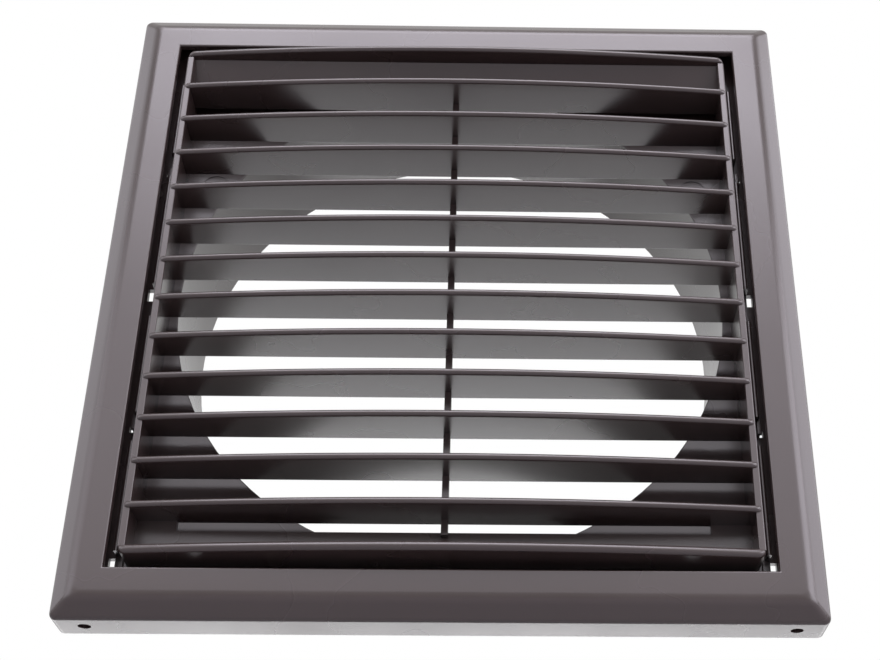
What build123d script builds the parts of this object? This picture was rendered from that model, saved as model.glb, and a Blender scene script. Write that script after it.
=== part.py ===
from build123d import *
import math
import os

# Fixed louvre vent grille for a 150 mm round duct, moulded in brown plastic.
# X runs across the grille, Z up, and Y into the wall. The wall plane is Y = 0
# and the origin is where the spigot's axis meets it. All sizes are in millimetres.

# Spigot of the base, which pushes into the duct
spigot_bore = 145.2
spigot_wall = 1.8
spigot_length = 37.0
spigot_lead_in = 0.6

# Widths that build out from the bore to the side of the frame
panel_border = 3.8
channel_width = 2.85
face_width = 7.2
bevel_width = 4.55

# Cover frame: a hollow square picture frame with a soft bevel and a skirt
frame_depth = 13.5
frame_wall = 2.0
frame_corner_radius = 1.6
opening_edge_round = 0.5
bevel_drop = 3.3
face_edge_round = 4.0
skirt_edge_round = 1.5

# Screws through the bottom skirt lock the frame to the base
lock_screw_hole = 3.1
lock_screw_pilot = 2.4
lock_screw_depth = 7.0
lock_screw_wall = 1.5
lock_screw_inset = 7.4
lock_screw_from_wall = 5.3

# Hooks on the top skirt, which the frame hangs by
hook_length = 12.0
hook_height = 1.2
hook_reach = 1.3
hook_spread = 90.0
hook_from_wall = 1.9

# Louvre panel: a square box of bowed blades, open at the back
panel_wall = 1.8
panel_corner_radius = 2.0
panel_back_from_wall = 4.8
blade_count = 12
blade_thickness = 1.8
sill_thickness = 2.3
blade_nose_flat = 0.1
blade_end_round = 1.6
blade_proud_at_ends = 1.4
blade_bow = 3.6
wall_proud = 0.8
wall_edge_round = 0.35
rib_thickness = 1.7
rib_depth = 3.7
rib_tail = 3.9
head_plate_setback = 0.5
head_plate_depth = 1.5
lip_height = 9.1
lip_thickness = 1.5
ear_width = 9.8

# Base: a shallow tray that the panel sits in, with a flange and a skirt round it
base_wall = 1.8
flange_thickness = 1.8
flange_from_wall = 5.4
seat_width = 1.8
tray_wall = 2.4
tray_floor = 1.2
mark_diameter = 7.6
mark_depth = 0.25
mark_inset = 9.5

# Fins on the flange, which guide the panel's sides
fin_wall = 1.2
fin_gap = 1.0
fin_from_wall = 9.0
fin_top_drop = 7.9
fin_bottom_rise = 2.9
drain_window_length = 10.0
drain_window_height = -3.4

# Snap tongues that hold the panel, with a core hole beside each
tongue_height = 38.4
tongue_width = 3.7
tongue_thickness = 1.2
tongue_gap = 1.6
tongue_from_wall = 7.3
tongue_foot_gap = 4.2
barb_thickness = 1.0
barb_bite = 0.45
core_hole_from_box = 2.45
core_hole_width = 0.95
core_hole_length = 1.75
core_hole_rise = 1.2

# Drains through the flange beside the panel
drain_from_box = 2.25
drain_width = 1.55
drain_length = 3.7
corner_drain_inset = 0.4

# Screws through the flange into the wall, under the frame
wall_screw_hole = 4.2
wall_screw_boss = 8.0
wall_screw_spread = 120.0

# Clearances between the pieces
frame_clearance = 0.3
panel_clearance = 0.3
hook_clearance = 0.2
barb_clearance = 0.2

# Small overlap that makes two bodies of one moulding fuse
fuse_overlap = 0.3

# Sizes, levels and half sizes that follow from the sizes above
panel_size = spigot_bore + 2 * panel_border
opening_size = panel_size + 2 * channel_width
frame_size = opening_size + 2 * (face_width + bevel_width)
frame_half = frame_size / 2
face_y = -frame_depth
lock_screw_x = frame_half - lock_screw_inset
panel_half = panel_size / 2
panel_inner_half = panel_half - panel_wall
panel_back_y = -panel_back_from_wall
bar_pitch = (panel_size - blade_thickness) / (blade_count + 1)
bar_end_y = face_y - blade_proud_at_ends
bar_middle_y = bar_end_y - blade_bow
wall_front_y = face_y - wall_proud
base_half = frame_half - frame_wall - frame_clearance
flange_front_y = -flange_from_wall
flange_back_y = flange_front_y + flange_thickness
tray_inner_half = panel_half - seat_width
tray_outer_half = tray_inner_half + tray_wall
tongue_inner = panel_half + tongue_gap
tongue_outer = tongue_inner + tongue_thickness
barb_y = (-tongue_from_wall, -tongue_from_wall + barb_thickness)


def slab(size, y_front, y_back, corner_radius=0.0):
    """A square plate parallel to the wall, centred on the spigot's axis."""
    if corner_radius > 0:
        outline = RectangleRounded(size, size, corner_radius)
    else:
        outline = Rectangle(size, size)
    return extrude(Plane.XZ.offset(-y_back) * outline, amount=y_back - y_front)


def ring(outer_half, inner_half, y_front, y_back, corner_radius=0.0):
    """A square ring parallel to the wall."""
    outside = slab(2 * outer_half, y_front, y_back, corner_radius)
    return outside - slab(2 * inner_half, y_front, y_back)


def block(x_range, y_range, z_range):
    """A box between two corners."""
    low, high = zip(x_range, y_range, z_range)
    size = [b - a for a, b in zip(low, high)]
    return Pos(*low) * Box(*size, align=(Align.MIN, Align.MIN, Align.MIN))


def rod(diameter, y_front, y_back, x=0.0, z=0.0):
    """A cylinder that runs square to the wall."""
    at = Pos(x, (y_front + y_back) / 2, z)
    return at * Rot(90, 0, 0) * Cylinder(diameter / 2, y_back - y_front)


def square_at(half, y, corner_radius=0.0):
    """A square outline parallel to the wall."""
    if corner_radius > 0:
        return Plane.XZ.offset(-y) * RectangleRounded(2 * half, 2 * half, corner_radius)
    return Plane.XZ.offset(-y) * Rectangle(2 * half, 2 * half)


def span(middle, length):
    """The two ends of a length about its middle."""
    return (middle - length / 2, middle + length / 2)


def mirrored(solid, plane):
    """A solid and its mirror image."""
    return solid + solid.mirror(plane)


def frame_shell():
    """The frame's outer form: skirt, soft bevel and flat face, still solid."""
    bevel_y = face_y + bevel_drop
    skirt = slab(frame_size, bevel_y, 0, frame_corner_radius)
    low = square_at(frame_half, bevel_y, frame_corner_radius)
    high = square_at(frame_half - bevel_width, face_y, frame_corner_radius)
    body = skirt + loft([low, high], ruled=True)
    face_edges = body.faces().sort_by(Axis.Y)[0].edges()
    body = fillet(face_edges, face_edge_round)
    near = (bevel_y - fuse_overlap, bevel_y + fuse_overlap)
    skirt_edges = body.edges().filter_by_position(Axis.Y, *near)
    return fillet(skirt_edges, skirt_edge_round)


def frame_cavity():
    """The hollow behind the face, one wall inside the outer form."""
    slope = math.atan2(bevel_drop, bevel_width)
    shoulder_y = face_y + bevel_drop + frame_wall * math.tan((math.pi / 2 - slope) / 2)
    ceiling_half = frame_half - bevel_width - frame_wall * math.tan(slope / 2)
    side_half = frame_half - frame_wall
    lower = slab(2 * side_half, shoulder_y, 0)
    shoulder = square_at(side_half, shoulder_y)
    ceiling = square_at(ceiling_half, face_y + frame_wall)
    return lower + loft([shoulder, ceiling], ruled=True)


def outer_frame():
    """The cover frame with its opening, lock screw holes and top hooks."""
    body = frame_shell() - frame_cavity()
    body -= slab(opening_size, face_y, 0)
    half = opening_size / 2
    rim = body.edges().filter_by_position(Axis.Y, face_y, face_y)
    rim = rim.filter_by_position(Axis.X, -half, half).filter_by_position(Axis.Z, -half, half)
    body = fillet(rim, opening_edge_round)
    hole = Pos(lock_screw_x, -lock_screw_from_wall, -frame_half)
    hole *= Cylinder(lock_screw_hole / 2, 2 * frame_wall)
    body -= mirrored(hole, Plane.YZ)
    inside = frame_half - frame_wall
    hook = block(
        span(hook_spread / 2, hook_length),
        span(-hook_from_wall, hook_height),
        (inside - hook_reach, inside + fuse_overlap),
    )
    return body + mirrored(hook, Plane.YZ)


def louvre_bar(thickness):
    """One bar of the louvre, flat across its thickness, with a bowed round front."""
    front = ThreePointArc((-panel_half, bar_end_y), (0, bar_middle_y), (panel_half, bar_end_y))
    back = Polyline(
        (panel_half, bar_end_y),
        (panel_half, panel_back_y),
        (-panel_half, panel_back_y),
        (-panel_half, bar_end_y),
    )
    bar = extrude(make_face(front + back), amount=thickness)
    ends = bar.edges().filter_by(Axis.Z).group_by(Axis.Y)[0]
    bar = fillet(ends, blade_end_round)
    nose = (thickness - blade_nose_flat) / 2
    front_edges = bar.edges().filter_by_position(Axis.Y, bar_middle_y, bar_end_y + blade_end_round)
    front_edges = front_edges.filter_by(Axis.Z, reverse=True)
    bar = fillet(front_edges.filter_by(GeomType.CIRCLE), nose)
    rear_edges = bar.edges().filter_by(Axis.X).group_by(Axis.Y)[-1]
    return fillet(rear_edges, nose)


def louvre_grid():
    """The box's side walls, the sill and the blades, with the box's round corners."""
    wall = block(
        (panel_inner_half, panel_half),
        (wall_front_y, panel_back_y),
        (-panel_half, panel_half),
    )
    crest = wall.edges().filter_by(Axis.Z).group_by(Axis.Y)[0]
    wall = fillet(crest, wall_edge_round)
    grid = mirrored(wall, Plane.YZ)
    grid += Pos(0, 0, -panel_half) * louvre_bar(sill_thickness)
    blade = louvre_bar(blade_thickness)
    for n in range(1, blade_count + 2):
        grid += Pos(0, 0, -panel_half + n * bar_pitch) * blade
    return grid & slab(panel_size, bar_middle_y, panel_back_y, panel_corner_radius)


def rib_and_lip():
    """The rib down the middle, the rain lip along the bottom and its two ears."""
    top_blade = panel_half - bar_pitch - blade_thickness / 2
    last_blade = -panel_half + bar_pitch
    rib = block(
        span(0, rib_thickness),
        (panel_back_y - rib_depth, panel_back_y),
        (last_blade - rib_tail, top_blade),
    )
    lip_top = -panel_half + lip_height
    lip_y = (panel_back_y - lip_thickness, panel_back_y)
    reach = panel_inner_half + fuse_overlap
    lip = block((-reach, reach), lip_y, (-panel_half + fuse_overlap, lip_top))
    ear = block(
        (panel_inner_half - ear_width, reach),
        lip_y,
        (lip_top - fuse_overlap, last_blade + blade_thickness / 2),
    )
    return rib + lip + mirrored(ear, Plane.YZ)


def head_plate():
    """The plate that slopes back from the top rail to the top blade and closes that gap."""
    rail_z = panel_half - blade_thickness + fuse_overlap
    blade_z = panel_half - bar_pitch - fuse_overlap
    front_y = face_y + head_plate_setback
    foot_y = panel_back_y - blade_thickness / 2
    outline = Polyline(
        (front_y, rail_z),
        (front_y + head_plate_depth, rail_z),
        (foot_y, blade_z),
        (foot_y - head_plate_depth, blade_z),
        close=True,
    )
    reach = panel_inner_half + fuse_overlap
    return extrude(Plane.YZ * make_face(outline), amount=reach, both=True)


def louvre_panel():
    """The louvre panel, with a notch in its sides for each tongue's barb."""
    notch = block(
        (panel_half - barb_bite - barb_clearance, panel_half),
        (barb_y[0] - barb_clearance, barb_y[1] + barb_clearance),
        span(tongue_height, tongue_width + 2 * barb_clearance),
    )
    notches = mirrored(mirrored(notch, Plane.YZ), Plane.XY)
    return louvre_grid() + rib_and_lip() + head_plate() - notches


def wall_screw_rod(diameter):
    """A rod through the base on the line of the upper right wall screw."""
    middle = (tray_outer_half + base_half - base_wall) / 2
    return rod(diameter, flange_front_y, 0, wall_screw_spread / 2, middle)


def base_flange():
    """The flange round the panel, the skirt that stands on the wall, and its bosses."""
    body = ring(base_half, panel_half + panel_clearance, flange_front_y, flange_back_y)
    body += ring(base_half, base_half - base_wall, flange_front_y, 0)
    boss = wall_screw_rod(wall_screw_boss)
    body += mirrored(mirrored(boss, Plane.YZ), Plane.XY)
    lock_block_size = lock_screw_pilot + 2 * lock_screw_wall
    lock_block = block(
        span(lock_screw_x, lock_block_size),
        span(-lock_screw_from_wall, lock_block_size),
        (-base_half, -base_half + base_wall + lock_screw_depth),
    )
    return body + mirrored(lock_block, Plane.YZ)


def fin():
    """The right fin, round on top, with windows at the drain and at the tongues."""
    inner = panel_half + fin_gap
    y_range = (-fin_from_wall, flange_front_y + fuse_overlap)
    z_range = (-panel_half + fin_bottom_rise, panel_half - fin_top_drop)
    body = block((inner, inner + fin_wall), y_range, z_range)
    top_edges = body.edges().filter_by(Axis.Z).group_by(Axis.Y)[0]
    body = fillet(top_edges, (fin_wall - blade_nose_flat) / 2)
    x_range = (inner, inner + fin_wall)
    window_y = (-fin_from_wall, flange_front_y)
    body -= block(x_range, window_y, span(drain_window_height, drain_window_length))
    tongue_end = tongue_height + tongue_width / 2 + tongue_foot_gap
    tongue_start = tongue_height - tongue_width / 2 - barb_clearance
    window = block(x_range, window_y, (tongue_start, tongue_end))
    return body - mirrored(window, Plane.XY)


def tongue():
    """The upper right snap tongue, whose barb bites into the panel's side."""
    z_range = span(tongue_height, tongue_width)
    post_y = (barb_y[0], flange_front_y + fuse_overlap)
    post = block((tongue_inner, tongue_outer), post_y, z_range)
    barb = block((panel_half - barb_bite, tongue_inner + fuse_overlap), barb_y, z_range)
    return post + barb


def flange_slot(from_box, width, height, length):
    """A slot through the flange on the right of the panel."""
    x = panel_half + from_box
    return block((x, x + width), (flange_front_y, flange_back_y), span(height, length))


def base_cuts():
    """Everything cut from the base's right half: drains, holes and hook window."""
    cuts = flange_slot(drain_from_box, drain_width, 0, drain_length)
    corner = -panel_half + corner_drain_inset
    cuts += flange_slot(drain_from_box, drain_width, corner, drain_length)
    core_height = tongue_height + core_hole_rise
    core = flange_slot(core_hole_from_box, core_hole_width, core_height, core_hole_length)
    cuts += mirrored(core + wall_screw_rod(wall_screw_hole), Plane.XY)
    pilot_length = base_wall + lock_screw_depth
    pilot = Pos(lock_screw_x, -lock_screw_from_wall, -base_half + pilot_length / 2)
    cuts += pilot * Cylinder(lock_screw_pilot / 2, pilot_length)
    cuts += block(
        span(hook_spread / 2, hook_length + 2 * hook_clearance),
        span(-hook_from_wall, hook_height + 2 * hook_clearance),
        (base_half - base_wall, base_half),
    )
    mark = rod(
        mark_diameter,
        -tray_floor,
        -tray_floor + mark_depth,
        panel_half - mark_inset,
        tongue_height,
    )
    return cuts + mirrored(mark, Plane.XY)


def spigot_base():
    """The base: tray, duct spigot, flange, fins and tongues in one moulding."""
    body = slab(2 * tray_outer_half, -tray_floor, 0, panel_corner_radius)
    body += ring(tray_outer_half, tray_inner_half, panel_back_y, 0, panel_corner_radius)
    body += rod(spigot_bore + 2 * spigot_wall, -tray_floor, spigot_length)
    body -= rod(spigot_bore, -tray_floor, spigot_length)
    mouth = body.edges().filter_by(GeomType.CIRCLE).group_by(Axis.Y)[-1]
    body = chamfer(mouth.sort_by(SortBy.RADIUS)[-1], spigot_lead_in)
    body += base_flange()
    tongues = mirrored(tongue(), Plane.XY)
    body += mirrored(fin() + tongues, Plane.YZ)
    return body - mirrored(base_cuts(), Plane.YZ)


os.makedirs("parts", exist_ok=True)
for name, make in (
    ("outer_frame", outer_frame),
    ("louvre_panel", louvre_panel),
    ("spigot_base", spigot_base),
):
    export_step(make(), f"parts/{name}.step")
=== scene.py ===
import logging
import math
from dataclasses import dataclass
from enum import Enum
from typing import Sequence

import bmesh
import bpy
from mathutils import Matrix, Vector


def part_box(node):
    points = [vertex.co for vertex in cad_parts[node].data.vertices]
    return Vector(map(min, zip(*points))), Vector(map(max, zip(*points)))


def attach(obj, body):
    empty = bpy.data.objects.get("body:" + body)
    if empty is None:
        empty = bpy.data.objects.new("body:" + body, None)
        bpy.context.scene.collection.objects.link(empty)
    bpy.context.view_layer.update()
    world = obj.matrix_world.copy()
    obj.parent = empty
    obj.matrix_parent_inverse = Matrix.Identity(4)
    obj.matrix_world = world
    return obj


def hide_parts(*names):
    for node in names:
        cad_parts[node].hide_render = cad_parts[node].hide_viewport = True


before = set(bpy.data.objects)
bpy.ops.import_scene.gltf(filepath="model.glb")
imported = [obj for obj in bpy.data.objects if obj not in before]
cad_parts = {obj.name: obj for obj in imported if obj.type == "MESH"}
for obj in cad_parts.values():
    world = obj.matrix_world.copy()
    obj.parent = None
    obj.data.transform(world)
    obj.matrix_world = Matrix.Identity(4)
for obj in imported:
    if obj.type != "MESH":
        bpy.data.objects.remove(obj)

log = logging.getLogger("vent_grille")

MM = 0.001
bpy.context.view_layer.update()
WELD = 0.002 * MM
CHANNEL = 2.85 * MM
LEFT_RIGHT = (0,)
ALL_QUARTERS = (0, 2)
COOL_TINT = (0.94, 0.90, 1.0)


class Plan(Enum):
    """Outline of a loop that runs round the grille's axis."""

    SQUARE = "square"
    CIRCLE = "circle"


class Cut(Enum):
    """What a carving body does to the piece it meets."""

    REMOVE = "DIFFERENCE"
    ADD = "UNION"


@dataclass(frozen=True)
class Stop:
    """A corner of a moulding's section.

    The section is drawn in reach (half size of the loop) and depth (Y); each stop is
    swept round the grille as a loop of its plan, and its edge is eased to a radius.
    """

    reach: float
    depth: float
    plan: Plan = Plan.SQUARE
    corner: float = 0.2 * MM
    ease: float = 0.0


@dataclass(frozen=True)
class BrownPlastic:
    """Dark brown moulded plastic with a satin sheen and a fine spark-eroded grain."""

    name: str = "brown_plastic"
    colour: tuple[float, float, float] = (0.026, 0.0170, 0.0160)
    faded: tuple[float, float, float] = (0.032, 0.0215, 0.0200)
    gloss: float = 0.22
    dull: float = 0.31
    refraction: float = 1.57
    grain_size: float = 0.35 * MM
    grain_height: float = 0.004 * MM
    cloud_size: float = 45.0 * MM
    cloud_detail: float = 3.0
    cloud_range: tuple[float, float] = (0.3, 0.7)
    grain_detail: float = 2.0
    grain_strength: float = 0.6

    def material(self) -> bpy.types.Material:
        """Make the node material.

        Returns:
            The finished material, on object coordinates.
        """
        material = bpy.data.materials.new(self.name)
        material.use_nodes = True
        nodes = material.node_tree.nodes
        links = material.node_tree.links
        shader = nodes["Principled BSDF"]
        shader.inputs["IOR"].default_value = self.refraction
        place = nodes.new("ShaderNodeTexCoord")

        cloud = nodes.new("ShaderNodeTexNoise")
        cloud.inputs["Scale"].default_value = 1.0 / self.cloud_size
        cloud.inputs["Detail"].default_value = self.cloud_detail
        links.new(place.outputs["Object"], cloud.inputs["Vector"])

        tone = nodes.new("ShaderNodeMix")
        tone.data_type = "RGBA"
        tone.inputs["A"].default_value = (*self.colour, 1.0)
        tone.inputs["B"].default_value = (*self.faded, 1.0)
        links.new(cloud.outputs["Fac"], tone.inputs["Factor"])
        links.new(tone.outputs["Result"], shader.inputs["Base Color"])

        grain = nodes.new("ShaderNodeTexNoise")
        grain.inputs["Scale"].default_value = 1.0 / self.grain_size
        grain.inputs["Detail"].default_value = self.grain_detail
        links.new(place.outputs["Object"], grain.inputs["Vector"])

        sheen = nodes.new("ShaderNodeMapRange")
        sheen.inputs["From Min"].default_value = self.cloud_range[0]
        sheen.inputs["From Max"].default_value = self.cloud_range[1]
        sheen.inputs["To Min"].default_value = self.gloss
        sheen.inputs["To Max"].default_value = self.dull
        links.new(cloud.outputs["Fac"], sheen.inputs["Value"])
        links.new(sheen.outputs["Result"], shader.inputs["Roughness"])

        bump = nodes.new("ShaderNodeBump")
        bump.inputs["Strength"].default_value = self.grain_strength
        bump.inputs["Distance"].default_value = self.grain_height
        links.new(grain.outputs["Fac"], bump.inputs["Height"])
        links.new(bump.outputs["Normal"], shader.inputs["Normal"])
        return material


def new_object(name: str, mesh: bpy.types.Mesh) -> bpy.types.Object:
    """Link a mesh into the scene as an object at the origin.

    Args:
        name: Name of the object.
        mesh: Its mesh.

    Returns:
        The linked object.
    """
    made = bpy.data.objects.new(name, mesh)
    bpy.context.scene.collection.objects.link(made)
    return made


def mesh_from(name: str, work: bmesh.types.BMesh) -> bpy.types.Object:
    """Turn an edit mesh into an object, with doubles merged and faces outward.

    Args:
        name: Name of the object.
        work: The edit mesh, which is freed.

    Returns:
        The object.
    """
    bmesh.ops.remove_doubles(work, verts=work.verts, dist=WELD)
    bmesh.ops.recalc_face_normals(work, faces=work.faces)
    mesh = bpy.data.meshes.new(name)
    work.to_mesh(mesh)
    work.free()
    return new_object(name, mesh)


def loop_points(stop: Stop, side_steps: int, corner_steps: int) -> list[Vector]:
    """Points of one loop round the grille's axis.

    Args:
        stop: Reach, depth and plan of the loop.
        side_steps: Steps along each straight side.
        corner_steps: Steps round each corner.

    Returns:
        The loop's points, the same number for every plan.
    """
    count = 4 * (side_steps + corner_steps)
    points = []
    if stop.plan is Plan.CIRCLE:
        start = -math.pi / 4 + math.pi * corner_steps / count
        for n in range(count):
            angle = start + 2 * math.pi * n / count
            points.append(Vector((stop.reach * math.cos(angle), stop.depth, stop.reach * math.sin(angle))))
        return points
    straight = stop.reach - stop.corner
    for quarter in range(4):
        turn = quarter * math.pi / 2
        along = Vector((-math.sin(turn), 0.0, math.cos(turn)))
        out = Vector((math.cos(turn), 0.0, math.sin(turn)))
        middle = Vector((0.0, stop.depth, 0.0))
        for n in range(side_steps):
            share = 2 * n / side_steps - 1
            points.append(middle + out * stop.reach + along * straight * share)
        for n in range(corner_steps):
            angle = math.pi / 2 * n / corner_steps
            corner = out * math.cos(angle) + along * math.sin(angle)
            points.append(middle + (out + along) * straight + corner * stop.corner)
    return points


def eased(stops: Sequence[Stop], steps: int) -> list[Stop]:
    """Round the section's corners that have an ease.

    Args:
        stops: The closed section.
        steps: Steps of each round edge.

    Returns:
        The section with an arc in place of each eased corner.
    """
    done = []
    for n, stop in enumerate(stops):
        if stop.ease == 0.0:
            done.append(stop)
            continue
        at = Vector((stop.reach, stop.depth))
        before = stops[n - 1]
        after = stops[(n + 1) % len(stops)]
        back = (Vector((before.reach, before.depth)) - at).normalized()
        ahead = (Vector((after.reach, after.depth)) - at).normalized()
        half = back.angle(ahead) / 2
        centre = at + (back + ahead).normalized() * stop.ease / math.sin(half)
        first = at + back * stop.ease / math.tan(half) - centre
        last = at + ahead * stop.ease / math.tan(half) - centre
        sweep = first.angle(last)
        for k in range(steps + 1):
            share = k / steps
            point = centre + (
                first * math.sin((1 - share) * sweep) + last * math.sin(share * sweep)
            ) / math.sin(sweep)
            done.append(Stop(point.x, point.y, stop.plan, stop.corner))
    return done


def swept_ring(name: str, stops: Sequence[Stop]) -> bpy.types.Object:
    """Sweep a closed section round the grille's axis.

    Args:
        name: Name of the object.
        stops: Corners of the section, in order.

    Returns:
        The closed ring.
    """
    side_steps, corner_steps, edge_steps = 26, 6, 5
    work = bmesh.new()
    loops = []
    for stop in eased(stops, edge_steps):
        loops.append([work.verts.new(p) for p in loop_points(stop, side_steps, corner_steps)])
    for n, loop in enumerate(loops):
        other = loops[n - 1]
        for k in range(len(loop)):
            work.faces.new((other[k - 1], other[k], loop[k], loop[k - 1]))
    return mesh_from(name, work)


def prism(name: str, outline: Sequence[Vector], along: Vector) -> bpy.types.Object:
    """A straight bar with a given end outline.

    Args:
        name: Name of the object.
        outline: Corners of one end.
        along: Way from that end to the other.

    Returns:
        The closed bar.
    """
    work = bmesh.new()
    foot = [work.verts.new(corner) for corner in outline]
    head = [work.verts.new(corner + along) for corner in outline]
    work.faces.new(foot)
    work.faces.new(head)
    for n in range(len(outline)):
        work.faces.new((foot[n - 1], foot[n], head[n], head[n - 1]))
    return mesh_from(name, work)


def bar_of(name: str, outline: Sequence[tuple[float, float]], low: float, high: float) -> bpy.types.Object:
    """A bar along Z with a given outline.

    Args:
        name: Name of the object.
        outline: Corners of the outline in X and Y.
        low: Lower end in Z.
        high: Upper end in Z.

    Returns:
        The closed bar.
    """
    return prism(name, [Vector((x, y, low)) for x, y in outline], Vector((0.0, 0.0, high - low)))


def block(
    name: str,
    xs: tuple[float, float],
    ys: tuple[float, float],
    zs: tuple[float, float],
) -> bpy.types.Object:
    """A box between two corners.

    Args:
        name: Name of the object.
        xs: Ends in X.
        ys: Ends in Y.
        zs: Ends in Z.

    Returns:
        The box.
    """
    outline = [(xs[0], ys[0]), (xs[1], ys[0]), (xs[1], ys[1]), (xs[0], ys[1])]
    return bar_of(name, outline, *zs)


def round_topped(
    inner: float, outer: float, top: float, foot: float, edge: float
) -> list[tuple[float, float]]:
    """Outline of a wall with rounded front edges.

    Args:
        inner: One face in X.
        outer: The other face in X.
        top: Front level in Y.
        foot: Rear level in Y.
        edge: Radius of the two front edges.

    Returns:
        Corners of the outline in X and Y.
    """
    steps = 6
    sign = math.copysign(1.0, outer - inner)
    outline = [(inner, foot)]
    for n in range(steps + 1):
        angle = math.pi / 2 * n / steps
        outline.append((inner + sign * edge * (1 - math.cos(angle)), top + edge * (1 - math.sin(angle))))
    for n in range(steps + 1):
        angle = math.pi / 2 * n / steps
        outline.append((outer - sign * edge * (1 - math.sin(angle)), top + edge * (1 - math.cos(angle))))
    outline.append((outer, foot))
    return outline


def rod(name: str, radius: float, start: Vector, end: Vector) -> bpy.types.Object:
    """A round rod between two points.

    Args:
        name: Name of the object.
        radius: Radius of the rod.
        start: Middle of one end.
        end: Middle of the other end.

    Returns:
        The closed rod.
    """
    steps = 32
    line = (end - start).normalized()
    side = line.orthogonal().normalized()
    other = line.cross(side)
    work = bmesh.new()
    rims = []
    turns = [2 * math.pi * n / steps for n in range(steps)]
    spokes = [radius * (side * math.cos(a) + other * math.sin(a)) for a in turns]
    for at in (start, end):
        rims.append([work.verts.new(at + spoke) for spoke in spokes])
        work.faces.new(rims[-1])
    for n in range(steps):
        work.faces.new((rims[0][n - 1], rims[0][n], rims[1][n], rims[1][n - 1]))
    return mesh_from(name, work)


def mirrored(made: bpy.types.Object, axes: Sequence[int]) -> list[bpy.types.Object]:
    """Copies of a body mirrored in the grille's planes.

    Args:
        made: The body.
        axes: Axes to mirror along, one after the other.

    Returns:
        The body and its mirror images.
    """
    found = [made]
    for axis in axes:
        for one in list(found):
            work = bmesh.new()
            work.from_mesh(one.data)
            for vert in work.verts:
                vert.co[axis] = -vert.co[axis]
            found.append(mesh_from(one.name, work))
    return found


def carve(made: bpy.types.Object, bodies: Sequence[bpy.types.Object], cut: Cut) -> None:
    """Add bodies to a piece or cut them from it, and drop them.

    Args:
        made: The piece.
        bodies: The bodies, which are deleted.
        cut: Whether they are added or removed.
    """
    for body in bodies:
        modifier = made.modifiers.new("carve", "BOOLEAN")
        modifier.operation = cut.value
        modifier.solver = "EXACT"
        modifier.object = body
        apply_modifiers(made)
        drop(body)


def drop(body: bpy.types.Object) -> None:
    """Delete a helper body with its mesh."""
    mesh = body.data
    bpy.data.objects.remove(body)
    bpy.data.meshes.remove(mesh)


def apply_modifiers(made: bpy.types.Object) -> None:
    """Swap an object's mesh for its evaluated one and remove the modifiers.

    Args:
        made: The object.
    """
    seen = made.evaluated_get(bpy.context.evaluated_depsgraph_get())
    mesh = bpy.data.meshes.new_from_object(seen)
    old = made.data
    made.modifiers.clear()
    made.data = mesh
    bpy.data.meshes.remove(old)


def join(name: str, bodies: Sequence[bpy.types.Object]) -> bpy.types.Object:
    """Put bodies of one moulding into one mesh.

    Args:
        name: Name of the joined object.
        bodies: The bodies, which are deleted.

    Returns:
        The joined object.
    """
    work = bmesh.new()
    for body in bodies:
        work.from_mesh(body.data)
        drop(body)
    mesh = bpy.data.meshes.new(name)
    work.to_mesh(mesh)
    work.free()
    return new_object(name, mesh)


def smooth(made: bpy.types.Object, sharp_angle: float = math.radians(32)) -> None:
    """Shade a piece smooth, crisp at its sharp edges and flat on its large faces.

    Args:
        made: The piece.
        sharp_angle: Angle from which an edge stays sharp.
    """
    made.data.shade_smooth()
    made.data.set_sharp_from_angle(angle=sharp_angle)
    modifier = made.modifiers.new("flat_faces", "WEIGHTED_NORMAL")
    modifier.keep_sharp = True
    modifier.weight = 100
    apply_modifiers(made)


def dress(made: bpy.types.Object, material: bpy.types.Material, node: str) -> None:
    """Finish a piece: smooth it, give it its plastic and put it in its node's place.

    Args:
        made: The piece.
        material: Its material.
        node: The node it stands for.
    """
    smooth(made)
    made.data.materials.clear()
    made.data.materials.append(material)
    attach(made, "root")
    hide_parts(node)
    log.info("%s: %d faces, stands for %s", made.name, len(made.data.polygons), node)


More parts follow.
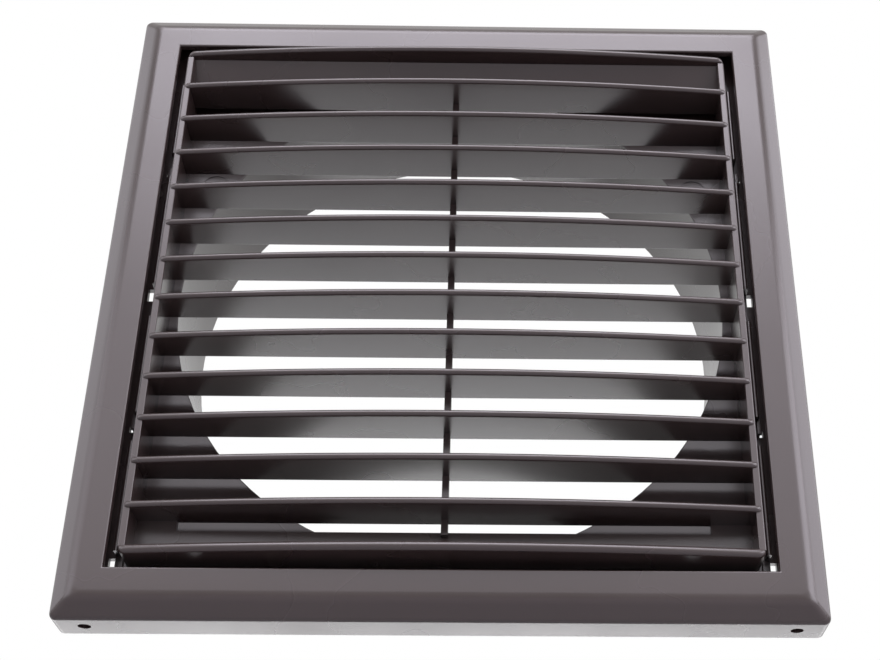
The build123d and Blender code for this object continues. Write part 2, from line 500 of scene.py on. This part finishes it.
class BarTree:
    """Geometry Nodes tree of the louvre's bars: bowed fronts, round noses, round ends."""

    COLUMNS = 99
    SECTION_STEPS = 33
    LEAST_RADIUS = 0.05 * MM
    FRONT_HALF = -0.001

    def __init__(self) -> None:
        """Build the tree once."""
        self.group = bpy.data.node_groups.new("louvre_bars", "GeometryNodeTree")
        self.inputs: dict[str, str] = {}
        self._declare()
        self._build()

    def _declare(self) -> None:
        """Name the tree's inputs and output."""
        face = self.group.interface
        lengths = (
            "Half Width", "Bow", "End Front", "Back", "Thickness", "End Round",
            "Corner Round", "Corner Side", "Pitch", "First Height",
        )
        kinds = {name: "NodeSocketFloat" for name in lengths}
        kinds.update({"Count": "NodeSocketInt", "Plastic": "NodeSocketMaterial"})
        for name, kind in kinds.items():
            socket = face.new_socket(name, in_out="INPUT", socket_type=kind)
            self.inputs[name] = socket.identifier
        face.new_socket("Geometry", in_out="OUTPUT", socket_type="NodeSocketGeometry")

    def _node(self, kind: str) -> bpy.types.Node:
        """Add a node to the tree."""
        return self.group.nodes.new(kind)

    def _feed(self, value: object, socket: bpy.types.NodeSocket) -> None:
        """Link a socket, or set a constant, on a node's input.

        Args:
            value: Output socket or constant.
            socket: The input.
        """
        if isinstance(value, bpy.types.NodeSocket):
            self.group.links.new(value, socket)
        else:
            socket.default_value = value

    def _math(self, operation: str, first: object, second: object = None) -> bpy.types.NodeSocket:
        """Add a math node.

        Args:
            operation: Blender's name of the operation.
            first: First value.
            second: Second value, where the operation takes one.

        Returns:
            The result socket.
        """
        node = self._node("ShaderNodeMath")
        node.operation = operation
        self._feed(first, node.inputs[0])
        if second is not None:
            self._feed(second, node.inputs[1])
        return node.outputs[0]

    def _square(self, value: bpy.types.NodeSocket) -> bpy.types.NodeSocket:
        """A value times itself."""
        return self._math("MULTIPLY", value, value)

    def _round_off(
        self, along: bpy.types.NodeSocket, half: bpy.types.NodeSocket, radius: bpy.types.NodeSocket
    ) -> bpy.types.NodeSocket:
        """How far a quarter round at the bar's end has fallen away.

        Args:
            along: Distance from the bar's middle.
            half: Half width of the bar.
            radius: Radius of the round.

        Returns:
            The fall, nought before the round starts.
        """
        start = self._math("SUBTRACT", half, radius)
        past = self._math("MAXIMUM", self._math("SUBTRACT", along, start), 0.0)
        square = self._math("SUBTRACT", self._square(radius), self._square(past))
        return self._math("SUBTRACT", radius, self._math("SQRT", self._math("MAXIMUM", square, 0.0)))

    def _build(self) -> None:
        """Lay out the nodes: grid, bent into a bar, repeated up the panel."""
        source = self._node("NodeGroupInput").outputs
        half, bow, end_front, back = (source[n] for n in ("Half Width", "Bow", "End Front", "Back"))
        grid = self._node("GeometryNodeMeshGrid")
        grid.inputs["Size X"].default_value = 2.0
        grid.inputs["Size Y"].default_value = 2.0 * math.pi
        grid.inputs["Vertices X"].default_value = self.COLUMNS
        grid.inputs["Vertices Y"].default_value = self.SECTION_STEPS
        split = self._node("ShaderNodeSeparateXYZ")
        self._feed(self._node("GeometryNodeInputPosition").outputs[0], split.inputs[0])
        across, turn = split.outputs[0], split.outputs[1]

        stretch = (self.COLUMNS - 1) / (self.COLUMNS - 3)
        reach = self._math("MINIMUM", self._math("MULTIPLY", self._math("ABSOLUTE", across), stretch), 1.0)
        along = self._math("MULTIPLY", half, self._math("SINE", self._math("MULTIPLY", reach, math.pi / 2)))
        x = self._math("MULTIPLY", along, self._math("SIGN", across))
        is_cap = self._math("GREATER_THAN", self._math("ABSOLUTE", across), 1.0 - 0.5 / self.COLUMNS)
        width = self._math("SUBTRACT", 1.0, is_cap)

        square = self._math("ADD", self._square(half), self._square(bow))
        radius = self._math("DIVIDE", square, self._math("MULTIPLY", bow, 2.0))
        under = self._math("SUBTRACT", self._square(radius), self._square(along))
        rise = self._math("SUBTRACT", self._math("SQRT", under), self._math("SUBTRACT", radius, bow))
        front = self._math("SUBTRACT", end_front, rise)
        front = self._math("ADD", front, self._round_off(along, half, source["End Round"]))

        inset = self._math("MULTIPLY", self._round_off(along, half, source["Corner Round"]), 0.5)
        nose = self._math("SUBTRACT", self._math("MULTIPLY", source["Thickness"], 0.5), inset)
        nose = self._math("MAXIMUM", nose, self.LEAST_RADIUS)
        centre = self._math("MULTIPLY", inset, self._math("MULTIPLY", source["Corner Side"], -1.0))
        cosine = self._math("COSINE", turn)
        falls = self._math("MULTIPLY", nose, cosine)
        front_y = self._math("SUBTRACT", self._math("ADD", front, nose), falls)
        back_y = self._math("SUBTRACT", self._math("SUBTRACT", back, nose), falls)
        is_front = self._math("GREATER_THAN", cosine, self.FRONT_HALF)
        span = self._math("SUBTRACT", front_y, back_y)
        y = self._math("ADD", back_y, self._math("MULTIPLY", span, is_front))
        lift = self._math("MULTIPLY", self._math("MULTIPLY", nose, self._math("SINE", turn)), width)
        z = self._math("ADD", centre, lift)

        place = self._node("ShaderNodeCombineXYZ")
        for value, socket in zip((x, y, z), place.inputs):
            self._feed(value, socket)
        bend = self._node("GeometryNodeSetPosition")
        self._feed(grid.outputs["Mesh"], bend.inputs["Geometry"])
        self._feed(place.outputs[0], bend.inputs["Position"])
        weld = self._node("GeometryNodeMergeByDistance")
        self._feed(bend.outputs[0], weld.inputs["Geometry"])
        weld.inputs["Distance"].default_value = WELD

        line = self._node("GeometryNodeMeshLine")
        self._feed(source["Count"], line.inputs["Count"])
        for name, socket in (("First Height", "Start Location"), ("Pitch", "Offset")):
            lifted = self._node("ShaderNodeCombineXYZ")
            self._feed(source[name], lifted.inputs[2])
            self._feed(lifted.outputs[0], line.inputs[socket])
        repeat = self._node("GeometryNodeInstanceOnPoints")
        self._feed(line.outputs[0], repeat.inputs["Points"])
        self._feed(weld.outputs[0], repeat.inputs["Instance"])
        real = self._node("GeometryNodeRealizeInstances")
        self._feed(repeat.outputs[0], real.inputs[0])
        paint = self._node("GeometryNodeSetMaterial")
        self._feed(real.outputs[0], paint.inputs["Geometry"])
        self._feed(source["Plastic"], paint.inputs["Material"])
        self._feed(paint.outputs[0], self._node("NodeGroupOutput").inputs[0])

    def make(self, name: str, values: dict[str, object]) -> bpy.types.Object:
        """Make a plain mesh of bars.

        Args:
            name: Name of the object.
            values: Value of each named input.

        Returns:
            The object, with no modifier left on it.
        """
        made = new_object(name, bpy.data.meshes.new(name))
        modifier = made.modifiers.new("bars", "NODES")
        modifier.node_group = self.group
        for key, value in values.items():
            modifier[self.inputs[key]] = value
        apply_modifiers(made)
        work = bmesh.new()
        work.from_mesh(made.data)
        bmesh.ops.recalc_face_normals(work, faces=work.faces)
        work.to_mesh(made.data)
        work.free()
        return made


@dataclass
class CoverFrame:
    """The square cover frame: flat face, soft bevel, skirt and two lock screw holes."""

    half: float
    depth: float
    opening_half: float
    wall: float = 2.0 * MM
    corner: float = 1.6 * MM
    opening_ease: float = 0.5 * MM
    bevel_width: float = 4.55 * MM
    bevel_drop: float = 3.3 * MM
    face_ease: float = 5.0 * MM
    skirt_ease: float = 1.8 * MM
    foot_ease: float = 0.25 * MM
    screw_radius: float = 1.55 * MM
    screw_inset: float = 7.4 * MM
    screw_from_wall: float = 5.3 * MM
    hook_spread: float = 90.0 * MM
    hook_length: float = 12.0 * MM
    hook_height: float = 1.2 * MM
    hook_reach: float = 1.3 * MM
    hook_from_wall: float = 1.9 * MM

    def section(self) -> list[Stop]:
        """Corners of the frame's section.

        Returns:
            The closed section, from the foot of the skirt round to its inside.
        """
        face = -self.depth
        slope = math.atan2(self.bevel_drop, self.bevel_width)
        shoulder = face + self.bevel_drop + self.wall * math.tan((math.pi / 2 - slope) / 2)
        ceiling = self.half - self.bevel_width - self.wall * math.tan(slope / 2)
        inside = self.half - self.wall
        return [
            Stop(self.half, 0.0, corner=self.corner, ease=self.foot_ease),
            Stop(self.half, face + self.bevel_drop, corner=self.corner, ease=self.skirt_ease),
            Stop(self.half - self.bevel_width, face, corner=self.corner, ease=self.face_ease),
            Stop(self.opening_half, face, ease=self.opening_ease),
            Stop(self.opening_half, face + self.wall, ease=self.foot_ease),
            Stop(ceiling, face + self.wall),
            Stop(inside, shoulder),
            Stop(inside, 0.0, ease=self.foot_ease),
        ]

    def build(self) -> bpy.types.Object:
        """Make the frame's mesh.

        Returns:
            The frame.
        """
        made = swept_ring("cover_frame", self.section())
        low = Vector((self.half - self.screw_inset, -self.screw_from_wall, -self.half - self.wall))
        hole = rod("lock_screw_hole", self.screw_radius, low, low + Vector((0.0, 0.0, 3 * self.wall)))
        carve(made, mirrored(hole, LEFT_RIGHT), Cut.REMOVE)
        inside = self.half - self.wall
        hook = block(
            "hook",
            ((self.hook_spread - self.hook_length) / 2, (self.hook_spread + self.hook_length) / 2),
            (-self.hook_from_wall - self.hook_height / 2, -self.hook_from_wall + self.hook_height / 2),
            (inside - self.hook_reach, inside + self.wall / 2),
        )
        carve(made, mirrored(hook, LEFT_RIGHT), Cut.ADD)
        return made


@dataclass
class LouvrePanel:
    """The louvre: bowed blades between two rails, side walls, rib, head plate and rain lip."""

    half: float
    front: float
    back: float
    face: float
    blades: int = 12
    wall: float = 1.8 * MM
    blade: float = 1.8 * MM
    sill: float = 2.3 * MM
    corner: float = 2.0 * MM
    end_round: float = 1.6 * MM
    proud_at_ends: float = 1.4 * MM
    wall_proud: float = 0.8 * MM
    wall_ease: float = 0.35 * MM
    flush: float = 0.02 * MM
    rib: float = 1.7 * MM
    rib_depth: float = 3.7 * MM
    rib_tail: float = 3.9 * MM
    head_setback: float = 0.5 * MM
    head: float = 1.5 * MM
    lip_height: float = 9.1 * MM
    lip: float = 1.5 * MM
    ear: float = 9.8 * MM

    @property
    def pitch(self) -> float:
        """Distance from one bar to the next."""
        return (2 * self.half - self.blade) / (self.blades + 1)

    def bars(self, plastic: bpy.types.Material) -> list[bpy.types.Object]:
        """Make the sill, the blades and the top rail.

        Args:
            plastic: Material of the bars.

        Returns:
            The three sets of bars.
        """
        tree = BarTree()
        end_front = self.face - self.proud_at_ends
        common = {
            "Half Width": self.half - self.flush,
            "Bow": end_front - self.front,
            "End Front": end_front,
            "Back": self.back,
            "End Round": self.end_round,
            "Plastic": plastic,
        }
        first = -self.half + self.pitch + self.blade / 2
        sets = (
            ("sill", self.sill, self.corner, -1.0, 1, -self.half + self.sill / 2),
            ("blades", self.blade, 0.0, 1.0, self.blades, first),
            ("top_rail", self.blade, self.corner, 1.0, 1, self.half - self.blade / 2),
        )
        return [
            tree.make(name, {
                **common,
                "Thickness": thickness,
                "Corner Round": corner,
                "Corner Side": side,
                "Count": count,
                "Pitch": self.pitch,
                "First Height": height,
            })
            for name, thickness, corner, side, count, height in sets
        ]

    def box(self) -> list[bpy.types.Object]:
        """Make the side walls, the rib, the head plate and the rain lip.

        Returns:
            The bodies, which reach into the bars.
        """
        inner = self.half - self.wall
        crest = self.face - self.wall_proud
        outline = round_topped(inner, self.half, crest, self.back, self.wall_ease)
        end = self.half - self.corner
        bodies = mirrored(bar_of("side_wall", outline, -end, end), LEFT_RIGHT)
        last = -self.half + self.pitch
        top = self.half - self.pitch
        sunk = self.wall / 2
        bodies.append(block(
            "rib",
            (-self.rib / 2, self.rib / 2),
            (self.back - self.rib_depth, self.back - self.flush),
            (last - self.rib_tail, top - sunk),
        ))
        return bodies + [self.head_plate(), self.rain_lip()]

    def head_plate(self) -> bpy.types.Object:
        """Make the plate that slopes back from the top rail to the top blade.

        Returns:
            The plate, which reaches into the side walls.
        """
        sunk = self.wall / 4
        reach = self.half - self.wall + sunk
        rail = self.half - self.blade + sunk
        blade = self.half - self.pitch - sunk
        front = self.face + self.head_setback
        foot = self.back - self.blade / 2
        corners = ((front, rail), (front + self.head, rail), (foot, blade), (foot - self.head, blade))
        outline = [Vector((-reach, y, z)) for y, z in corners]
        return prism("head_plate", outline, Vector((2 * reach, 0.0, 0.0)))

    def rain_lip(self) -> bpy.types.Object:
        """Make the rain lip with an ear at each end, as one plate.

        Returns:
            The plate, which reaches into the sill, the side walls and the lowest blade.
        """
        sunk = self.wall / 2
        reach = self.half - self.wall + sunk
        ear = self.half - self.wall - self.ear
        foot = -self.half + sunk
        lip = -self.half + self.lip_height
        tip = -self.half + self.pitch + sunk
        right = [(reach, foot), (reach, tip), (ear, tip), (ear, lip)]
        left = [(-x, z) for x, z in reversed(right)]
        outline = [Vector((x, self.back - self.lip, z)) for x, z in right + left]
        return prism("rain_lip", outline, Vector((0.0, self.lip - self.flush, 0.0)))

    def build(self, plastic: bpy.types.Material) -> bpy.types.Object:
        """Make the louvre's mesh.

        Args:
            plastic: Material of the louvre.

        Returns:
            The louvre.
        """
        return join("louvre", self.bars(plastic) + self.box())


@dataclass
class SpigotBase:
    """The base: round duct spigot, shallow tray, flange with fins and drains, skirt."""

    half: float
    end: float
    fin_front: float
    panel_half: float
    seat: float
    bore: float = 72.6 * MM
    spigot_wall: float = 1.8 * MM
    lead_in: float = 0.6 * MM
    wall: float = 1.8 * MM
    seat_width: float = 1.8 * MM
    tray_wall: float = 2.4 * MM
    tray_floor: float = 1.2 * MM
    flange_front: float = -5.4 * MM
    flange: float = 1.8 * MM
    panel_gap: float = 0.3 * MM
    ease: float = 0.25 * MM
    fin: float = 1.2 * MM
    fin_gap: float = 1.0 * MM
    fin_round: float = 0.54 * MM
    fin_top_drop: float = 7.9 * MM
    fin_bottom_rise: float = 2.9 * MM
    drain_window: tuple[float, float] = (-8.4 * MM, 1.6 * MM)
    tongue_height: float = 38.4 * MM
    tongue_width: float = 3.7 * MM
    tongue: float = 1.2 * MM
    tongue_gap: float = 1.6 * MM
    tongue_front: float = -7.3 * MM
    tongue_foot_gap: float = 4.2 * MM
    tongue_side_gap: float = 0.2 * MM
    drain_from_panel: float = 2.25 * MM
    drain_width: float = 1.55 * MM
    drain_length: float = 3.7 * MM
    corner_drain_inset: float = 0.4 * MM
    core_from_panel: float = 2.45 * MM
    core_width: float = 0.95 * MM
    core_length: float = 1.75 * MM
    core_rise: float = 1.2 * MM
    wall_screw_radius: float = 2.1 * MM
    boss_radius: float = 4.0 * MM
    wall_screw_spread: float = 120.0 * MM
    mark_radius: float = 3.8 * MM
    mark_depth: float = 0.25 * MM
    mark_inset: float = 9.5 * MM

    def section(self) -> list[Stop]:
        """Corners of the base's section.

        Returns:
            The closed section, from the bore's front edge out over the tray and the
            flange, round the skirt and back along the spigot.
        """
        tray = self.panel_half - self.seat_width
        tray_back = tray + self.tray_wall
        outer = self.bore + self.spigot_wall
        flange_back = self.flange_front + self.flange
        skirt = self.half - self.wall
        return [
            Stop(self.bore, -self.tray_floor, Plan.CIRCLE, ease=self.ease),
            Stop(tray, -self.tray_floor),
            Stop(tray, self.seat, ease=self.ease),
            Stop(self.panel_half + self.panel_gap, self.seat),
            Stop(self.panel_half + self.panel_gap, self.flange_front, ease=self.ease),
            Stop(self.half, self.flange_front, ease=self.ease),
            Stop(self.half, 0.0, ease=self.ease),
            Stop(skirt, 0.0, ease=self.ease),
            Stop(skirt, flange_back),
            Stop(tray_back, flange_back),
            Stop(tray_back, 0.0, ease=self.ease),
            Stop(outer, 0.0, Plan.CIRCLE),
            Stop(outer, self.end - self.lead_in, Plan.CIRCLE),
            Stop(outer - self.lead_in, self.end, Plan.CIRCLE),
            Stop(self.bore, self.end, Plan.CIRCLE, ease=self.ease),
        ]

    def fin_bodies(self) -> list[bpy.types.Object]:
        """Make the fins beside the panel, in lengths between their windows.

        Returns:
            The fins of both sides.
        """
        inner = self.panel_half + self.fin_gap
        foot = self.flange_front + self.flange / 2
        outline = round_topped(inner, inner + self.fin, self.fin_front, foot, self.fin_round)
        near = self.tongue_height - self.tongue_width / 2 - self.tongue_side_gap
        far = self.tongue_height + self.tongue_width / 2 + self.tongue_foot_gap
        lengths = (
            (-self.panel_half + self.fin_bottom_rise, -far),
            (-near, self.drain_window[0]),
            (self.drain_window[1], near),
            (far, self.panel_half - self.fin_top_drop),
        )
        bodies = []
        for low, high in lengths:
            bodies += mirrored(bar_of("fin", outline, low, high), LEFT_RIGHT)
        return bodies

    def tongue_bodies(self) -> list[bpy.types.Object]:
        """Make the four snap tongues.

        Returns:
            The tongues.
        """
        inner = self.panel_half + self.tongue_gap
        foot = self.flange_front + self.flange / 2
        outline = round_topped(inner, inner + self.tongue, self.tongue_front, foot, self.ease)
        low = self.tongue_height - self.tongue_width / 2
        return mirrored(bar_of("tongue", outline, low, low + self.tongue_width), ALL_QUARTERS)

    def through_slot(
        self, from_panel: float, width: float, height: float, length: float
    ) -> bpy.types.Object:
        """A slot through the flange beside the panel, as a cutting body.

        Args:
            from_panel: Distance from the panel's side.
            width: Width of the slot.
            height: Height of its middle.
            length: Its length up the side.

        Returns:
            The cutting body.
        """
        x = self.panel_half + from_panel
        ys = (self.flange_front - self.flange / 2, self.flange_front + 1.5 * self.flange)
        return block("slot", (x, x + width), ys, (height - length / 2, height + length / 2))

    def cuts(self) -> list[bpy.types.Object]:
        """Make the bodies that open the drains, core holes, screw holes and marks.

        Returns:
            The cutting bodies.
        """
        drain = (self.drain_from_panel, self.drain_width)
        corner = -self.panel_half + self.corner_drain_inset
        bodies = mirrored(self.through_slot(*drain, 0.0, self.drain_length), LEFT_RIGHT)
        bodies += mirrored(self.through_slot(*drain, corner, self.drain_length), LEFT_RIGHT)
        height = self.tongue_height + self.core_rise
        core = self.through_slot(self.core_from_panel, self.core_width, height, self.core_length)
        bodies += mirrored(core, ALL_QUARTERS)
        bodies += mirrored(self.screw_rod(self.wall_screw_radius, self.wall), ALL_QUARTERS)
        mark = Vector((self.panel_half - self.mark_inset, -self.tray_floor, self.tongue_height))
        deep = Vector((0.0, self.mark_depth, 0.0))
        bodies += mirrored(rod("mark", self.mark_radius, mark - deep, mark + deep), ALL_QUARTERS)
        return bodies

    def screw_rod(self, radius: float, past: float) -> bpy.types.Object:
        """A rod on the line of the upper right wall screw.

        Args:
            radius: Radius of the rod.
            past: How far it runs past the base's faces.

        Returns:
            The rod.
        """
        tray_back = self.panel_half - self.seat_width + self.tray_wall
        height = (tray_back + self.half - self.wall) / 2
        front = Vector((self.wall_screw_spread / 2, self.flange_front - past, height))
        rear = Vector((front.x, past, height))
        return rod("wall_screw", radius, front, rear)

    def build(self) -> bpy.types.Object:
        """Make the base's mesh.

        Returns:
            The base.
        """
        made = swept_ring("spigot_base_shell", self.section())
        carve(made, mirrored(self.screw_rod(self.boss_radius, -self.ease), ALL_QUARTERS), Cut.ADD)
        carve(made, self.fin_bodies() + self.tongue_bodies(), Cut.ADD)
        carve(made, self.cuts(), Cut.REMOVE)
        return made


@dataclass(frozen=True)
class SoftBox:
    """A soft rectangular lamp that points at the middle of the grille."""

    name: str
    place: tuple[float, float, float]
    size: tuple[float, float]
    watts: float
    tint: tuple[float, float, float] = (1.0, 1.0, 1.0)

    def build(self) -> bpy.types.Object:
        """Hang the lamp.

        Returns:
            The lamp, hidden from the camera.
        """
        data = bpy.data.lights.new(self.name, "AREA")
        data.shape = "RECTANGLE"
        data.size, data.size_y = self.size
        data.energy = self.watts
        data.color = self.tint
        lamp = bpy.data.objects.new(self.name, data)
        bpy.context.scene.collection.objects.link(lamp)
        lamp.location = self.place
        lamp.rotation_euler = (-lamp.location).to_track_quat("-Z", "Y").to_euler()
        lamp.visible_camera = False
        return lamp


@dataclass
class Studio:
    """Pale floor, white surround, soft lamps and the camera below the grille."""

    floor_level: float = -0.26
    floor_size: float = 3.0
    floor_tone: float = 0.55
    floor_roughness: float = 0.9
    ambient: float = 0.2
    eye: tuple[float, float, float] = (0.01200, -0.34399, -0.20859)
    spot: tuple[float, float, float] = (0.01814, -0.01350, -0.01431)
    lens: float = 61.222
    sensor: float = 36.0
    shift: float = -0.0909
    lamps: tuple[SoftBox, ...] = (
        SoftBox("front_lamp", (0.0, -0.77, 0.985), (1.0, 0.7), 16.0, COOL_TINT),
        SoftBox("low_front_lamp", (0.0, -1.18, 0.55), (1.6, 0.45), 3.7, COOL_TINT),
        SoftBox("left_lamp", (-0.95, -0.05, 0.42), (0.8, 0.8), 2.7, COOL_TINT),
        SoftBox("right_lamp", (0.95, -0.05, 0.42), (0.8, 0.8), 5.6, COOL_TINT),
        SoftBox("left_front_lamp", (-0.85, -0.75, 0.25), (0.6, 0.8), 3.3, COOL_TINT),
        SoftBox("right_front_lamp", (0.85, -0.75, 0.25), (0.6, 0.8), 8.0, COOL_TINT),
        SoftBox("low_back_lamp", (0.0, 0.60, -0.20), (1.0, 0.10), 0.7),
        SoftBox("floor_lamp", (0.0, 0.48, -0.235), (1.2, 0.04), 0.75),
    )

    def build(self) -> None:
        """Set up the floor, the surround, the lamps and the camera."""
        self.lay_floor()
        self.hang_surround()
        for lamp in self.lamps:
            lamp.build()
        self.set_camera()

    def lay_floor(self) -> None:
        """Lay the pale floor well below the grille."""
        work = bmesh.new()
        bmesh.ops.create_grid(work, x_segments=1, y_segments=1, size=self.floor_size / 2)
        for vert in work.verts:
            vert.co.z = self.floor_level
        floor = mesh_from("floor", work)
        material = bpy.data.materials.new("pale_floor")
        material.use_nodes = True
        shader = material.node_tree.nodes["Principled BSDF"]
        shader.inputs["Base Color"].default_value = (self.floor_tone,) * 3 + (1.0,)
        shader.inputs["Roughness"].default_value = self.floor_roughness
        floor.data.materials.append(material)

    def hang_surround(self) -> None:
        """Make the world white to the eye and in reflections, and dim as a light."""
        world = bpy.data.worlds.new("white_surround")
        bpy.context.scene.world = world
        world.use_nodes = True
        nodes = world.node_tree.nodes
        links = world.node_tree.links
        background = nodes["Background"]
        background.inputs["Color"].default_value = (1.0, 1.0, 1.0, 1.0)
        path = nodes.new("ShaderNodeLightPath")
        seen = path.outputs["Is Camera Ray"]
        for other in ("Is Glossy Ray", "Is Transmission Ray"):
            either = nodes.new("ShaderNodeMath")
            either.operation = "MAXIMUM"
            links.new(seen, either.inputs[0])
            links.new(path.outputs[other], either.inputs[1])
            seen = either.outputs[0]
        strength = nodes.new("ShaderNodeMapRange")
        strength.inputs["To Min"].default_value = self.ambient
        strength.inputs["To Max"].default_value = 1.0
        links.new(seen, strength.inputs["Value"])
        links.new(strength.outputs["Result"], background.inputs["Strength"])

    def set_camera(self) -> None:
        """Put the camera at the photograph's viewing angle."""
        scene = bpy.context.scene
        scene.view_settings.view_transform = "Standard"
        data = bpy.data.cameras.new("camera")
        data.lens = self.lens
        data.sensor_width = self.sensor
        data.shift_x = self.shift
        camera = bpy.data.objects.new("camera", data)
        scene.collection.objects.link(camera)
        camera.location = self.eye
        camera.rotation_euler = (Vector(self.spot) - camera.location).to_track_quat("-Z", "Y").to_euler()
        scene.camera = camera


def main() -> None:
    """Build the grille's pieces in order, then the studio."""
    logging.basicConfig(level=logging.INFO, format="%(name)s: %(message)s")
    plastic = BrownPlastic().material()
    frame_low, frame_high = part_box("outer_frame")
    panel_low, panel_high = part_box("louvre_panel")
    base_low, base_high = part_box("spigot_base")

    cover = CoverFrame(frame_high[0], -frame_low[1], panel_high[0] + CHANNEL)
    dress(cover.build(), plastic, "outer_frame")
    louvre = LouvrePanel(panel_high[0], panel_low[1], panel_high[1], frame_low[1])
    dress(louvre.build(plastic), plastic, "louvre_panel")
    base = SpigotBase(base_high[0], base_high[1], base_low[1], panel_high[0], panel_high[1])
    dress(base.build(), plastic, "spigot_base")
    Studio().build()

    log.info("sizes written")


if __name__ == "__main__":
    main()
